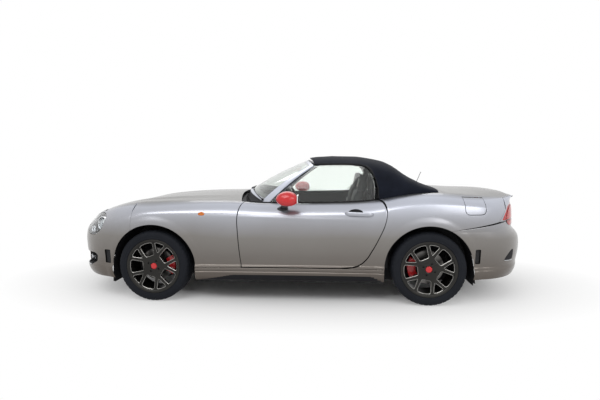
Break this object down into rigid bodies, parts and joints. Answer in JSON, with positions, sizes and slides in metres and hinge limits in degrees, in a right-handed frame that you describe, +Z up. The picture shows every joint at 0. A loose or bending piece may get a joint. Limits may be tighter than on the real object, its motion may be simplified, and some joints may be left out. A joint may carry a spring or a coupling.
{
  "type": "convertible car",
  "caption": "small two-seat convertible car with a raised dark fabric roof, turning and steering wheels, hinged doors, bonnet and boot lid",
  "frame": {"origin": "centre of the bounding box on the ground", "axes": "X to the nose, Y to the car's left, Z up"},
  "size_m": [4.0539, 1.982, 1.24],
  "materials": {
    "body_paint": "metallic silver-grey paint, clear coated",
    "roof_cloth": "woven dark navy to black roof cloth",
    "glass": "clear, faintly green",
    "lamp_clear": "clear lens over a dark bezel",
    "lamp_red": "red lens",
    "mirror_red": "bright red gloss",
    "caliper_red": "red caliper on bare casting",
    "wheel_alloy": "dark gunmetal with machined edges",
    "tyre_rubber": "black tyre rubber",
    "black_plastic": "grained black",
    "seat_leather": "black leather with pale side panels",
    "underbody": "satin dark underbody coating",
    "black_steel": "satin black",
    "exhaust_steel": "dull stainless",
    "engine_metal": "cast metal"
  },
  "bodies": {
    "root": {"floor_pan": "underbody", "engine": "engine_metal", "exhaust": "exhaust_steel", "front_suspension": "black_steel", "rear_suspension": "black_steel", "rear_calipers": "caliper_red", "front_bumper": "body_paint", "headlights": "lamp_clear", "grille": "black_plastic", "front_left_wing": "body_paint", "front_right_wing": "body_paint", "sills": "body_paint", "left_quarter": "body_paint", "right_quarter": "body_paint", "rear_deck": "body_paint", "tail_lights": "lamp_red", "rear_bumper": "body_paint", "windscreen_frame": "body_paint", "windscreen": "glass", "scuttle": "black_plastic", "wipers": "black_plastic", "soft_top": "roof_cloth", "rear_window": "glass", "roll_hoops": "black_plastic", "antenna": "black_plastic", "seats": "seat_leather", "dashboard": "black_plastic"},
    "front_left_hub": {"front_left_knuckle": "caliper_red"},
    "front_right_hub": {"front_right_knuckle": "caliper_red"},
    "front_left_road_wheel": {"front_left_wheel": "wheel_alloy", "front_left_tyre": "tyre_rubber"},
    "front_right_road_wheel": {"front_right_wheel": "wheel_alloy", "front_right_tyre": "tyre_rubber"},
    "rear_left_road_wheel": {"rear_left_wheel": "wheel_alloy", "rear_left_tyre": "tyre_rubber"},
    "rear_right_road_wheel": {"rear_right_wheel": "wheel_alloy", "rear_right_tyre": "tyre_rubber"},
    "bonnet": {"bonnet": "body_paint"},
    "left_door": {"left_door": "body_paint", "left_window": "glass", "left_mirror": "mirror_red"},
    "right_door": {"right_door": "body_paint", "right_window": "glass", "right_mirror": "mirror_red"},
    "fuel_flap": {"fuel_flap": "body_paint"},
    "boot_lid": {"boot_lid": "body_paint"},
    "steering_wheel": {"steering_wheel": "black_plastic"}
  },
  "joints": [
    {"name": "steer_left", "type": "hinge", "parent": "root", "child": "front_left_hub", "pos_m": [1.187, 0.69, 0.304], "axis": [0, 0, 1], "range_deg": [-33, 33]},
    {"name": "steer_right", "type": "hinge", "parent": "root", "child": "front_right_hub", "pos_m": [1.187, -0.69, 0.304], "axis": [0, 0, 1], "range_deg": [-33, 33]},
    {"name": "front_left_wheel_spin", "type": "hinge", "parent": "front_left_hub", "child": "front_left_road_wheel", "pos_m": [1.187, 0.7475, 0.304], "axis": [0, 1, 0], "continuous": true},
    {"name": "front_right_wheel_spin", "type": "hinge", "parent": "front_right_hub", "child": "front_right_road_wheel", "pos_m": [1.187, -0.7475, 0.304], "axis": [0, 1, 0], "continuous": true},
    {"name": "rear_left_wheel_spin", "type": "hinge", "parent": "root", "child": "rear_left_road_wheel", "pos_m": [-1.123, 0.7525, 0.304], "axis": [0, 1, 0], "continuous": true},
    {"name": "rear_right_wheel_spin", "type": "hinge", "parent": "root", "child": "rear_right_road_wheel", "pos_m": [-1.123, -0.7525, 0.304], "axis": [0, 1, 0], "continuous": true},
    {"name": "left_door_hinge", "type": "hinge", "parent": "root", "child": "left_door", "pos_m": [0.395, 0.817, 0.64], "axis": [0, 0, -1], "range_deg": [0, 65]},
    {"name": "right_door_hinge", "type": "hinge", "parent": "root", "child": "right_door", "pos_m": [0.395, -0.817, 0.64], "axis": [0, 0, 1], "range_deg": [0, 65]},
    {"name": "bonnet_hinge", "type": "hinge", "parent": "root", "child": "bonnet", "pos_m": [0.425, 0, 0.852], "axis": [0, -1, 0], "range_deg": [0, 42]},
    {"name": "boot_lid_hinge", "type": "hinge", "parent": "root", "child": "boot_lid", "pos_m": [-1.2, 0, 0.906], "axis": [0, 1, 0], "range_deg": [0, 75]},
    {"name": "steering_wheel_turn", "type": "hinge", "parent": "root", "child": "steering_wheel", "pos_m": [0.12, -0.375, 0.79], "axis": [-0.9135, 0, 0.4067], "range_deg": [-470, 470]},
    {"name": "fuel_flap_hinge", "type": "hinge", "parent": "root", "child": "fuel_flap", "pos_m": [-1.325, 0.79478, 0.84296], "axis": [0, 0.7748, -0.6321], "range_deg": [0, 60]}
  ],
  "couplings": [
    {"joint": "steer_right", "follows": "steer_left", "ratio": 1},
    {"joint": "steering_wheel_turn", "follows": "steer_left", "ratio": 14}
  ]
}
